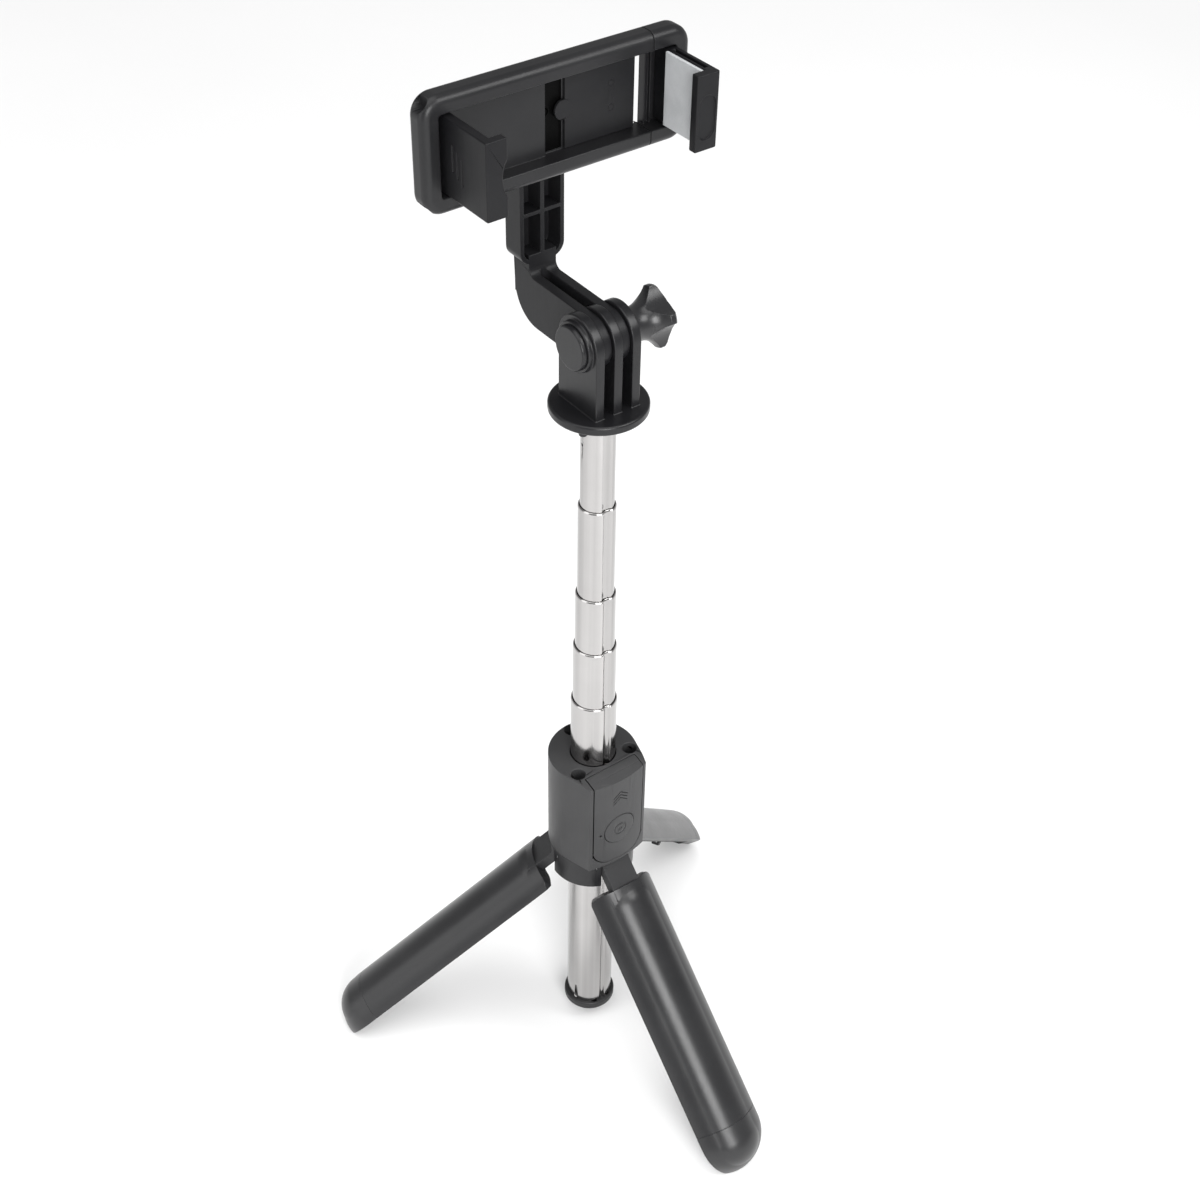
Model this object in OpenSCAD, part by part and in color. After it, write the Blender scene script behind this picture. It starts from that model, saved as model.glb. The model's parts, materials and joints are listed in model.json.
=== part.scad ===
// Selfie stick with a folding tripod, a telescopic pole, a tilting arm and a sprung phone holder.
// Frame: +Z up, the pole axis is x = y = 0, the feet stand on z = 0, the phone and the remote face -Y.

/* [Pole] */
// Radius of the fixed outer tube
outer_tube_r = 8.25; // [8.2:0.01:8.3]
// Step in radius from one tube to the next
tube_step = 0.58; // [0.56:0.01:0.6]
// Wall of every tube
tube_wall = 0.3; // [0.28:0.01:0.32]
// Radius of the anti-rotation groove in the outer tube
groove_r = 1.0; // [0.9:0.05:1.1]
// Heights of the upper rims of tubes 1 to 5
rim_z = [274, 239.4, 204.9, 183.1, 159.7]; // [150:0.1:280]

/* [Housing] */
// Radius of the round housing
housing_r = 15.3; // [15:0.1:15.6]
// Lower face of the housing
housing_z = 93.6; // [93.4:0.1:93.8]
// Upper face of the housing
housing_top = 134.1; // [134:0.1:134.4]
// Radius of the leg hub
hub_r = 14.9; // [14.7:0.1:15]
// Lower face of the hub
hub_z = 81; // [80.8:0.1:81.2]

/* [Legs] */
// Angle between an opened leg and the pole
spread = 44.85; // [43:0.05:46]
// Height of the leg hinges
hinge_z = 90.5; // [90.4:0.1:90.6]
// Distance of the leg hinges from the pole axis
hinge_r = 12; // [11.9:0.1:12.1]
// Outer radius of a leg about the pole when it is folded
leg_r = 15; // [14.8:0.1:15.2]
// Length from the hinge to the tip of the foot
leg_len = 121.6; // [121:0.1:122]

/* [Head] */
// Radius of the round base
base_r = 15; // [14.5:0.1:15.5]
// Height of the tilt axis
tilt_z = 298; // [297.8:0.1:298.2]
// Prong thickness
prong_t = 3; // [2.9:0.05:3.1]
// Arm plate thickness
plate_t = 3.2; // [3.1:0.05:3.25]
// Radius of the thumb knob
knob_r = 9.4; // [9.3:0.1:9.6]

/* [Holder] */
// Height of the holder centre
holder_z = 355.5; // [355:0.1:356]
// Half height of the holder
holder_h = 16.9; // [16.5:0.1:17.2]
// Width of the rim round the holder window
rim_w = 5.1; // [5:0.1:5.2]
// Front plane of the holder
holder_y = 20; // [19.8:0.1:20.2]
// Depth of the holder
holder_d = 7.5; // [7.4:0.1:7.6]
// Left end of the holder
holder_left = -42.8; // [-43.5:0.1:-42.5]
// Right end of the holder
holder_right = 45.3; // [45:0.1:46]
// Seam between the frame and its sliding end
seam_x = 32; // [31.5:0.1:32.5]
// Front plane of the jaws
jaw_y = 1.2; // [1:0.1:1.5]

/* [Hidden] */
$fn = 96;
fine = 200;

eps = 0.01;
black = [0.07, 0.07, 0.075];
soft_black = [0.13, 0.13, 0.14];
steel = [0.78, 0.78, 0.8];
pad_grey = [0.68, 0.69, 0.7];
copper = [0.75, 0.55, 0.3];
board_green = [0.1, 0.3, 0.18];

// Pole: tube 6 is the fixed outer tube, tube 1 the innermost
groove_y = outer_tube_r + 0.1;
tube_bottom = 8.6;
outer_tube_top = 132.6;
tube_5_len = 123.9;
len_step = 2.2;
bush_flange = 2;
bush_spigot = 3;
bush_fit = 0.06;
bush_ring = 1.2;
spigot_len = 15;
stop_hole_r = 0.7;
stop_hole_turn = -74;
stake_r = 0.5;
stake_turn = -98;
stake_below = 11.4;
far = 40;
function tube_r(k) = outer_tube_r - tube_step * (6 - k);
function tube_groove(k) = groove_r + tube_step * (6 - k);
function tube_len(k) = tube_5_len - len_step * (5 - k);
function tube_z(k) = rim_z[k - 1] - tube_len(k);

// Legs
leg_angles = [150, -90, 30];
leg_half_angle = 58.9;
shell_wall = 1.6;
side_wall_angle = 4.9;
dome_r = 11.4;
dome_shift = 4.4;
dome_reach = 4.2;
shell_top = 10;
dome_top = 12.5;
foot_seam = 102.1;
foot_under = 3.6;
liner_r = 9.9;
liner_t = 1.2;
tongue_w = 11;
tongue_t = 4.1;
tongue_s = 14;
shoulder_r = 3.6;
ear_r = 3.4;
ear_x = 8.3;
ear_down = 3.3;
knuckle_r = 2.6;
pin_r = 1;
pin_len = 15;

// Housing
screw_pitch_r = 12.4;
screw_angles = [90, -30, 210];
screw_low = 84;
screw_seat = 124;
screw_shank_r = 1.25;
screw_head_r = 2.4;
tube_bore = outer_tube_r + 0.02;
front_corner = [11.8, -14.3];
front_y = -15.9;
front_r = 44;
slope_y = -10.9;
slope_drop = 1.5;
housing_wall = 1.7;

// Remote
remote_w = 20.4;
remote_gap = 0.25;
remote_back_y = -9.5;
remote_bottom = 95.2;
remote_corner = 7;
remote_split = -12.6;
remote_wall = 1.2;
cavity_top = housing_top - slope_drop - remote_wall;
board_y = -11.8;
board_t = 0.8;
cell_r = 7.9;
cell_t = 1.2;
cell_z = 122;
switch_t = 0.35;
led_r = 0.5;
button_r = 6.1;
button_z = 109.6;
led_x = -7.6;

// Head
base_z = rim_z[0];
base_t = 3;
prong_r = 9.2;
stud_angle = 212;
stud_at = 12.2;
stud_r = 1.3;
boss_t = 1.5;
nut_t = 3;
nut_boss_r = 7.7;
nut_r = 4.6;
bolt_len = 17;
insert_r = 4.2;
insert_len = 5;
gap_w = plate_t + 0.2;
plate_x = prong_t / 2 + 0.1;
prong_x = prong_t / 2 + gap_w;
prong_out = prong_x + prong_t;
arm_r = 8;
arm_end = 24.2;
slot_end = 26;
bend_r = 11;
slab_y = holder_y + holder_d + 0.3;
slab_back = arm_end + bend_r;
slab_w = 15.4;
slab_z = 309.5;
slab_top = 367;
slab_wall = 1.4;
bolt_r = 2.5;
swivel_r = 3.9;
swivel_end = slab_back + 0.1;
washer_t = 0.6;
screw_r = 1.25;

// Holder
rail_round = 2.5;
rail_edge = 0.4;
corner_r = 6;
window_h = holder_h - rim_w;
back_y = holder_y + holder_d - 1.5;
rod_z = holder_h - rim_w / 2;
rod_y = holder_y + holder_d / 2;
rod_r = 1.5;
rail_bore = 1.8;
jaw_h = 22.4;
jaw_t = 2.8;
pad_y = 24.8;
panel_x = 5.8;
panel_w = 23.9;
panel_t = 0.8;

module wedge(angle, reach) {
  polygon([[0, 0], [reach, -reach * tan(angle)], [reach, reach * tan(angle)]]);
}

// ---- pole ----
module tube_outline(k, grow) {
  difference() {
    circle(r = tube_r(k) + grow);
    translate([0, -groove_y]) circle(r = tube_groove(k) - grow);
  }
}

module tube_shape(k, z, len) {
  translate([0, 0, z]) linear_extrude(len) difference() {
    tube_outline(k, 0);
    tube_outline(k, -tube_wall);
  }
}

module sliding_tube(k) {
  color(steel) difference() {
    tube_shape(k, tube_z(k), tube_len(k));
    if (k == 1) translate([0, 0, rim_z[0] - stake_below]) rotate([90, 0, stake_turn])
      cylinder(r = stake_r, h = outer_tube_r);
  }
}

module outer_tube() {
  color(steel) difference() {
    tube_shape(6, tube_bottom, outer_tube_top - tube_bottom);
    translate([0, 0, tube_bottom + 2]) rotate([90, 0, stop_hole_turn])
      cylinder(r = stop_hole_r, h = outer_tube_r + 1);
  }
}

module bush(k) {
  color(black) difference() {
    union() {
      translate([0, 0, tube_z(k) - bush_flange]) linear_extrude(bush_flange)
        tube_outline(k + 1, -tube_wall - bush_fit);
      translate([0, 0, tube_z(k)]) linear_extrude(bush_spigot) tube_outline(k, -tube_wall);
    }
    translate([0, 0, tube_z(k) - bush_flange - 1])
      cylinder(r = tube_r(k) - tube_wall - tube_groove(1) / 2 - bush_ring, h = bush_flange + bush_spigot + 2);
  }
}

module end_cap() {
  lip_r = 9.35;
  lip_z = 5.1;
  color(black) union() {
    rotate_extrude() polygon([
      [0, lip_z], [lip_r - 0.7, lip_z], [lip_r, lip_z + 0.7], [lip_r, tube_bottom - 0.5],
      [lip_r - 0.4, tube_bottom], [0, tube_bottom]
    ]);
    translate([0, 0, tube_bottom - eps]) linear_extrude(3.4) tube_outline(6, -tube_wall);
  }
}

// ---- housing ----
module housing_outline(grow) {
  reach = norm(front_corner);
  side = atan2(front_corner[1], front_corner[0]);
  touch = side + acos(housing_r / reach);
  edge = [housing_r * cos(touch), housing_r * sin(touch)];
  out = edge + (front_corner - edge) * 1.25;
  circle(r = housing_r + grow);
  intersection() {
    polygon([
      [-edge[0] - grow, edge[1]], [-out[0] - grow, out[1]],
      [out[0] + grow, out[1]], [edge[0] + grow, edge[1]]
    ]);
    translate([0, front_y + front_r]) circle(r = front_r + grow, $fn = fine);
  }
}

module front_slope() {
  rotate([90, 0, 90]) linear_extrude(far, center = true) polygon([
    [slope_y, housing_top],
    [front_y - 2, housing_top - slope_drop * (slope_y - front_y + 2) / (slope_y - front_y)],
    [front_y - 2, housing_top + 5],
    [slope_y, housing_top + 5]
  ]);
}

module remote_outline(grow) {
  half = remote_w / 2 + grow;
  low = remote_bottom - grow;
  for (side = [-1, 1])
    translate([side * (half - remote_corner), low + remote_corner]) circle(r = remote_corner);
  translate([-half, low + remote_corner]) square([2 * half, housing_top + 1 - low - remote_corner]);
  translate([-half + remote_corner, low]) square([2 * (half - remote_corner), remote_corner + 1]);
}

module remote_block(grow, y_back, y_front) {
  translate([0, y_back, 0]) rotate([90, 0, 0]) linear_extrude(y_back - y_front) remote_outline(grow);
}

module housing() {
  pocket_y = remote_back_y + remote_gap;
  color(black) difference() {
    translate([0, 0, housing_z]) linear_extrude(housing_top - housing_z) housing_outline(0);
    translate([0, 0, housing_z - 1]) cylinder(r = tube_bore, h = outer_tube_top - housing_z + 1);
    translate([0, 0, housing_z]) cylinder(r = tube_r(5) + 0.25, h = housing_top - housing_z + 1);
    remote_block(remote_gap, pocket_y, front_y - 3);
    front_slope();
    translate([0, 0, housing_z - 1]) linear_extrude(housing_top - housing_wall - housing_z + 1) difference() {
      circle(r = housing_r - housing_wall);
      circle(r = tube_bore + 1.3);
      translate([-far / 2, -far]) square([far, far + pocket_y + remote_wall + 1]);
      for (a = screw_angles) rotate(a) translate([screw_pitch_r, 0]) circle(r = 3.2);
    }
    for (a = screw_angles) rotate(a) translate([screw_pitch_r, 0, 0]) {
      translate([0, 0, screw_seat]) cylinder(r = screw_head_r + 0.1, h = 20);
      translate([0, 0, housing_z - 1]) cylinder(r = screw_shank_r + 0.05, h = far);
    }
  }
}

module hub() {
  slot_w = tongue_w + 0.5;
  color(black) difference() {
    rotate_extrude() polygon([
      [tube_bore, hub_z], [hub_r - 0.6, hub_z], [hub_r, hub_z + 0.6],
      [hub_r, housing_z], [tube_bore, housing_z]
    ]);
    for (a = leg_angles) rotate(a) {
      translate([9.2, -slot_w / 2, hub_z - 1]) cube([10, slot_w, 20]);
      translate([hinge_r, 0, hinge_z]) rotate([90, 0, 0]) cylinder(r = pin_r, h = pin_len, center = true);
    }
    for (a = screw_angles) rotate(a) translate([screw_pitch_r, 0, screw_low])
      cylinder(r = screw_shank_r, h = 20);
  }
}

module housing_screws() {
  color(steel) for (a = screw_angles) rotate(a) translate([screw_pitch_r, 0, 0]) {
    translate([0, 0, screw_low]) cylinder(r = screw_shank_r, h = screw_seat - screw_low + eps);
    difference() {
      translate([0, 0, screw_seat]) cylinder(r = screw_head_r, h = 1.8);
      for (turn = [0, 90]) translate([0, 0, screw_seat + 1.5]) rotate(turn)
        cube([2.4, 0.5, 1.2], center = true);
    }
  }
}

// ---- remote ----
// Upright round block whose front is the curved front face of the remote, set back by depth
module front_curve(depth) {
  translate([0, front_y + front_r, remote_bottom - 1]) cylinder(r = front_r - depth, h = 60, $fn = fine);
}

module remote_solid(y_back, y_front) {
  difference() {
    intersection() {
      remote_block(0, y_back, y_front);
      translate([0, 0, remote_bottom - 1]) linear_extrude(60) housing_outline(0);
    }
    front_slope();
    translate([-far / 2, -far, housing_top]) cube([far, far, 10]);
  }
}

module chevron(z, w) {
  for (side = [-1, 1]) translate([0, 0, z]) rotate([0, side * 40, 0])
    translate([side * w / 2, front_y, 0]) cube([w, 0.8, 0.45], center = true);
}

module remote_front() {
  color(black) difference() {
    remote_solid(remote_split, front_y - 1);
    intersection() {
      translate([0, remote_split + eps, 0]) rotate([90, 0, 0]) linear_extrude(5) remote_outline(-remote_wall);
      translate([-far / 2, -far, 0]) cube([far, far, cavity_top]);
      front_curve(remote_wall);
    }
    translate([0, front_y + 3, button_z]) rotate([90, 0, 0]) cylinder(r = button_r + 0.2, h = 6);
    translate([led_x, front_y + 3, button_z]) rotate([90, 0, 0]) cylinder(r = led_r, h = 6);
    for (z = [127.4, 126, 124.6]) chevron(z, 3.8);
  }
}

module remote_back() {
  color(black) difference() {
    remote_solid(remote_back_y, remote_split);
    translate([0, remote_back_y - 0.9, 0]) rotate([90, 0, 0]) linear_extrude(10) intersection() {
      remote_outline(-remote_wall);
      translate([-far / 2, 0]) square([far, cavity_top]);
    }
  }
}

module remote_button() {
  flange_y = -13.5;
  mark_y = front_y + 0.1;
  stem_y = board_y - board_t - switch_t - 0.35;
  color(soft_black) difference() {
    union() {
      intersection() {
        translate([0, flange_y - 0.1, button_z]) rotate([90, 0, 0]) cylinder(r = button_r, h = 5);
        front_curve(-0.15);
      }
      intersection() {
        translate([0, flange_y, button_z]) rotate([90, 0, 0]) cylinder(r = button_r + 0.8, h = 3);
        front_curve(remote_wall + 0.1);
      }
      translate([0, stem_y, button_z]) rotate([90, 0, 0]) cylinder(r = button_r - 1.5, h = 1);
    }
    translate([0, mark_y, button_z]) rotate([90, 0, 0]) difference() {
      cylinder(r = 2.6, h = 2);
      cylinder(r = 2.1, h = 2);
    }
    translate([0, mark_y, button_z]) rotate([90, 0, 0]) cylinder(r = 0.8, h = 2);
  }
}

module remote_board() {
  board_hole_r = 1.2;
  color(board_green) difference() {
    translate([0, board_y, 0]) rotate([90, 0, 0]) linear_extrude(board_t) intersection() {
      remote_outline(-remote_wall - 0.3);
      translate([-far / 2, 0]) square([far, cavity_top - 0.4]);
    }
    translate([0, board_y + 1, 98]) rotate([90, 0, 0]) cylinder(r = board_hole_r, h = 3);
  }
}

module remote_cell() {
  color(steel) translate([0, board_y + cell_t + 0.1, cell_z]) rotate([90, 0, 0])
    cylinder(r = cell_r, h = cell_t);
}

module remote_switch() {
  color(copper) translate([0, board_y - board_t, button_z]) rotate([90, 0, 0])
    cylinder(r = 2, h = switch_t);
}

// ---- legs: drawn folded, along the pole on the +X side, then turned out ----
module leg_place(i) {
  rotate([0, 0, leg_angles[i]]) translate([hinge_r, 0, hinge_z]) rotate([0, -spread, 0])
    translate([-hinge_r, 0, -hinge_z]) children();
}

module leg_sector(r_out, r_in, from, to) {
  translate([0, 0, hinge_z - to]) linear_extrude(to - from) intersection() {
    wedge(leg_half_angle, 20);
    difference() {
      circle(r = r_out);
      circle(r = r_in);
    }
  }
}

module leg_dome(from, to, round_top, round_foot) {
  translate([dome_shift, 0, hinge_z - to]) cylinder(r = dome_r, h = to - from);
  if (round_top) translate([dome_shift, 0, hinge_z - from]) sphere(r = dome_r);
  if (round_foot) translate([dome_shift, 0, hinge_z - to]) sphere(r = dome_r);
}

// Shell seen from outside, with round shoulders beside the hinge tongue
module shell_outline() {
  half = leg_r * sin(leg_half_angle) + 0.3;
  low = -foot_seam - 1;
  for (side = [-1, 1]) translate([side * (half - shoulder_r), -shell_top - shoulder_r])
    circle(r = shoulder_r);
  translate([-half + shoulder_r, low]) square([2 * (half - shoulder_r), -shell_top - low]);
  translate([-half, low]) square([2 * half, -shell_top - shoulder_r - low]);
}

// Round cut at the hinge end of both long edges, seen from the side
module ear_cut() {
  translate([0, 15, hinge_z - shell_top - ear_down]) rotate([90, 0, 0]) linear_extrude(30) difference() {
    translate([ear_x - 10, 0]) square([10, ear_down + 1]);
    translate([ear_x, 0]) circle(r = ear_r);
  }
}

module leg_shell(i) {
  color(black) leg_place(i) intersection() {
    difference() {
      union() {
        leg_sector(leg_r, liner_r + liner_t, shell_top, foot_seam);
        intersection() {
          leg_dome(dome_top + dome_reach, foot_seam, true, false);
          leg_sector(leg_r + 2, leg_r - 1, shell_top, foot_seam);
        }
      }
      translate([0, 0, hinge_z - foot_seam - 1]) linear_extrude(foot_seam - shell_top - 1) intersection() {
        circle(r = leg_r - shell_wall);
        wedge(leg_half_angle - side_wall_angle, 20);
      }
      translate([liner_r - 1, -tongue_w / 2, hinge_z - tongue_s]) cube([tongue_t + 1, tongue_w, tongue_s]);
      ear_cut();
    }
    translate([0, 0, hinge_z - foot_seam]) linear_extrude(foot_seam) wedge(leg_half_angle, 20);
    translate([0, 0, hinge_z]) rotate([90, 0, 90]) linear_extrude(20) shell_outline();
  }
}

module leg_foot(i) {
  ball_s = leg_len - leg_r;
  dome_end = leg_len - 13.6;
  seam = 0.05;
  color(soft_black) difference() {
    leg_place(i) intersection() {
      union() {
        translate([0, 0, hinge_z - ball_s]) cylinder(r = leg_r, h = ball_s - foot_seam);
        translate([0, 0, hinge_z - ball_s]) sphere(r = leg_r);
        leg_dome(foot_seam, dome_end, false, true);
      }
      translate([0, 0, hinge_z - leg_len - 1]) linear_extrude(leg_len + 1 - foot_seam - seam) intersection() {
        wedge(leg_half_angle, 20);
        translate([foot_under, -20]) square([20, 40]);
      }
    }
    translate([-150, -150, -20]) cube([300, 300, 20]);
  }
}

module snap_loop() {
  loop_s = 89.3;
  loop_t = 2.7;
  loop_w = 5.8;
  loop_in = 1.4;
  translate([0, 0, hinge_z - loop_s]) linear_extrude(loop_t) difference() {
    polygon([
      [loop_in, -1.4], [loop_in, 1.4], [liner_r + 0.5, loop_w / 2], [liner_r + 0.5, -loop_w / 2]
    ]);
    polygon([
      [loop_in + 1, -0.6], [loop_in + 1, 0.6],
      [liner_r - 0.9, loop_w / 2 - 1.3], [liner_r - 0.9, 1.3 - loop_w / 2]
    ]);
  }
}

module leg_liner(i) {
  color(soft_black) leg_place(i) difference() {
    union() {
      difference() {
        leg_sector(liner_r + liner_t, liner_r, shell_top, foot_seam);
        ear_cut();
      }
      translate([liner_r, -tongue_w / 2, hinge_z - tongue_s]) cube([tongue_t, tongue_w, tongue_s]);
      translate([hinge_r, 0, hinge_z]) rotate([90, 0, 0])
        cylinder(r = knuckle_r, h = tongue_w, center = true);
      snap_loop();
      translate([0, 0, hinge_z - foot_seam]) linear_extrude(foot_seam - tongue_s) for (side = [-1, 1])
        translate([liner_r + 0.5, side * 3.2 - 0.5]) square([2.4, 1]);
    }
    translate([hinge_r, 0, hinge_z]) rotate([90, 0, 0]) cylinder(r = pin_r + 0.05, h = 30, center = true);
    translate([0, 0, hinge_z - foot_seam]) cylinder(r = liner_r, h = foot_seam - 92);
  }
}

module leg_pin(i) {
  color(steel) rotate([0, 0, leg_angles[i]]) translate([hinge_r, 0, hinge_z]) rotate([90, 0, 0])
    cylinder(r = pin_r, h = pin_len, center = true);
}

// ---- head ----
module across(x, len) {
  translate([x, 0, 0]) rotate([90, 0, 90]) linear_extrude(len) children();
}

module prong_outline() {
  translate([0, tilt_z]) circle(r = prong_r);
  translate([-prong_r, base_z + base_t - eps]) square([2 * prong_r, tilt_z - base_z - base_t]);
}

module head_base() {
  color(black) difference() {
    union() {
      rotate_extrude() polygon([
        [0, base_z], [base_r - 0.5, base_z], [base_r, base_z + 0.5], [base_r, base_z + base_t - 0.5],
        [base_r - 0.5, base_z + base_t], [0, base_z + base_t]
      ]);
      for (x = [-prong_out, -prong_t / 2, prong_x]) across(x, prong_t) prong_outline();
      across(-prong_out - boss_t, boss_t + eps) translate([0, tilt_z]) circle(r = nut_boss_r);
      translate([0, 0, base_z - spigot_len]) linear_extrude(spigot_len + eps) tube_outline(1, -tube_wall);
    }
    across(-far / 2, far) translate([0, tilt_z]) circle(r = bolt_r + 0.05);
    across(-prong_out - boss_t - 0.5, nut_t + 0.5) translate([0, tilt_z]) circle(r = nut_r, $fn = 6);
    rotate([0, 0, stud_angle]) translate([stud_at, 0, base_z - 1]) cylinder(r = stud_r, h = 2.5);
  }
}

module base_stud() {
  color(black) rotate([0, 0, stud_angle]) translate([stud_at, 0, base_z - 1.8])
    cylinder(r = stud_r, h = 3.3);
}

module hinge_nut() {
  color(steel) across(-prong_out - boss_t, nut_t) difference() {
    translate([0, tilt_z]) circle(r = nut_r, $fn = 6);
    translate([0, tilt_z]) circle(r = bolt_r + 0.05);
  }
}

module nut_cover() {
  cover_r = 6.9;
  cover_t = 1.5;
  color(black) translate([-prong_out - boss_t, 0, tilt_z]) rotate([0, -90, 0]) rotate_extrude()
    polygon([[0, 0], [cover_r, 0], [cover_r - 0.2, cover_t - 0.3], [cover_r - 0.5, cover_t], [0, cover_t]]);
}

module hinge_bolt() {
  head_in = boss_t - 0.2;
  color(steel) across(-prong_out - head_in, prong_out + head_in + bolt_len) translate([0, tilt_z])
    circle(r = bolt_r);
}

module knob() {
  lobes = 4;
  neck = prong_out + 0.2;
  rim_x = 20.4;
  flare_r = 7.6;
  flute_r = 9.4;
  flute_at = 15.2;
  first_lobe = -20;
  color(black) translate([0, 0, tilt_z]) rotate([0, 90, 0]) difference() {
    union() {
      rotate_extrude() polygon([
        [0, neck], [6.6, neck], [6.6, neck + 0.9], [6.2, neck + 1.3], [0, neck + 1.3]
      ]);
      difference() {
        rotate_extrude() difference() {
          polygon([
            [0, neck + 1], [knob_r, neck + 1], [knob_r, rim_x], [knob_r - 0.9, rim_x + 0.9],
            [knob_r - 3.4, rim_x + 1.8], [0, rim_x + 1.8]
          ]);
          translate([5.3 + flare_r, 12]) circle(r = flare_r);
        }
        for (k = [0 : lobes - 1]) rotate(180 + first_lobe + (k + 0.5) * 360 / lobes)
          translate([flute_at, 0, 0]) cylinder(r = flute_r, h = far);
      }
    }
    translate([0, 0, neck - 1]) cylinder(r = bolt_r, h = bolt_len - neck + 1);
    translate([0, 0, bolt_len - insert_len]) cylinder(r = insert_r, h = insert_len, $fn = 6);
  }
}

module knob_insert() {
  color(copper) across(bolt_len - insert_len, insert_len) translate([0, tilt_z]) difference() {
    rotate(-90) circle(r = insert_r, $fn = 6);
    circle(r = bolt_r);
  }
}

module arm_outline() {
  translate([0, tilt_z]) circle(r = arm_r);
  translate([0, tilt_z - arm_r]) square([arm_end, 2 * arm_r]);
  intersection() {
    translate([arm_end, tilt_z - arm_r + bend_r]) circle(r = bend_r);
    translate([arm_end - eps, tilt_z - arm_r - 1]) square([bend_r + 1, bend_r + 1 + eps]);
  }
  translate([arm_end - eps, tilt_z - arm_r + bend_r]) square([bend_r + eps, 2 * arm_r - bend_r]);
  translate([slab_y, tilt_z]) square([slab_back - slab_y, slab_z + 3 - tilt_z]);
  difference() {
    translate([slab_y - 2.4, tilt_z + arm_r - eps]) square([2.5, 2.4]);
    translate([slab_y - 2.4, tilt_z + arm_r + 2.4]) circle(r = 2.4);
  }
}

module slab_outline(inset) {
  half = slab_w / 2 - inset;
  round_low = 4.4 - inset;
  for (side = [-1, 1])
    translate([side * (half - round_low), slab_z + inset + round_low]) circle(r = round_low);
  translate([-half + round_low, slab_z + inset]) square([2 * (half - round_low), round_low + 1]);
  translate([-half, slab_z + inset + round_low])
    square([2 * half, slab_top - slab_z - 2 * inset - round_low]);
}

module from_front(y, depth) {
  translate([0, y + depth, 0]) rotate([90, 0, 0]) linear_extrude(depth) children();
}

module arm() {
  boss_r = 6.7;
  color(black) difference() {
    union() {
      for (x = [-plate_x - plate_t, plate_x]) across(x, plate_t) arm_outline();
      difference() {
        across(-plate_x - eps, 2 * plate_x + 2 * eps) arm_outline();
        translate([-plate_x, -20, tilt_z - 20]) cube([2 * plate_x, 20 + slot_end, 40]);
        translate([0, slot_end, tilt_z - 20]) cylinder(r = plate_x, h = 40);
      }
      difference() {
        from_front(slab_y, slab_back - slab_y) slab_outline(0);
        from_front(slab_y - 1, slab_back - slab_y + 1 - slab_wall) slab_outline(slab_wall);
      }
      from_front(slab_y, slab_back - slab_y) intersection() {
        slab_outline(0);
        union() {
          translate([-0.7, slab_z]) square([1.4, slab_top - slab_z]);
          for (z = [325.4, 341.6]) translate([-10, z - 0.6]) square([20, 1.2]);
          translate([0, holder_z]) circle(r = boss_r);
        }
      }
    }
    across(-far / 2, far) translate([0, tilt_z]) circle(r = bolt_r + 0.05);
    from_front(slab_y - 1, 12) translate([0, holder_z]) circle(r = swivel_r + 0.06);
  }
}

// ---- phone holder ----
module rail_profile() {
  for (v = [rail_round, holder_d - rail_round]) translate([rim_w - rail_round, v]) circle(r = rail_round);
  for (v = [rail_edge, holder_d - rail_edge]) translate([rail_edge, v]) circle(r = rail_edge);
  translate([0, rail_edge]) square([rim_w - rail_round, holder_d - 2 * rail_edge]);
  translate([rail_edge, 0]) square([rim_w - rail_round - rail_edge, holder_d]);
  translate([0, rail_round]) square([rim_w, holder_d - 2 * rail_round]);
}

// Rim of the holder on the side of its end at x = end, from the seam to that end
module rim_half(end, seam) {
  dir = end < seam ? -1 : 1;
  cx = end - dir * corner_r;
  cz = holder_h - corner_r;
  inner = corner_r - rim_w;
  for (up = [-1, 1]) {
    translate([min(seam, cx), holder_y, holder_z + up * window_h]) mirror([0, 0, up < 0 ? 1 : 0])
      rotate([90, 0, 90]) linear_extrude(abs(seam - cx)) rotate(90) mirror([0, 1]) rail_profile();
    translate([cx, holder_y, holder_z + up * cz]) rotate([-90, 0, 0])
      mirror([dir < 0 ? 1 : 0, up > 0 ? 1 : 0])
        rotate_extrude(angle = 90) translate([inner, 0]) rail_profile();
  }
  translate([end - dir * rim_w, holder_y, holder_z - cz]) mirror([dir < 0 ? 1 : 0, 0])
    linear_extrude(2 * cz) rail_profile();
}

module holder_frame() {
  wall_left = holder_left + rim_w - 1;
  wall_right = 29.8;
  end_hole_r = 1.9;
  end_hole_len = 4.5;
  rail_from = -36;
  pocket_x = -1;
  color(black) difference() {
    union() {
      rim_half(holder_left, seam_x);
      translate([wall_left, back_y, holder_z - window_h - 1])
        cube([wall_right - wall_left, 1.5, 2 * window_h + 2]);
      translate([wall_left, pad_y, holder_z - window_h - eps])
        cube([pocket_x - wall_left, back_y - pad_y + eps, 2 * window_h + 2 * eps]);
      translate([0, holder_y + holder_d - eps, holder_z]) rotate([-90, 0, 0])
        cylinder(r = swivel_r, h = swivel_end - holder_y - holder_d + eps);
    }
    for (up = [-1, 1]) translate([rail_from, rod_y, holder_z + up * rod_z]) rotate([0, 90, 0])
      cylinder(r = rail_bore, h = 80);
    for (up = [-1, 1], shift = [-1, 1])
      translate([holder_left - 1, rod_y + shift * end_hole_r / 3, holder_z + up * (rod_z + 0.3)])
        rotate([0, 90, 0]) cylinder(r = end_hole_r, h = end_hole_len);
    translate([pocket_x, back_y - 0.5, holder_z - window_h + 0.5])
      cube([panel_x - 0.6 - pocket_x, 1.2, 2 * window_h - 1]);
    translate([0, holder_y + holder_d - 1, holder_z]) rotate([-90, 0, 0]) cylinder(r = screw_r, h = 12);
  }
}

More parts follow.
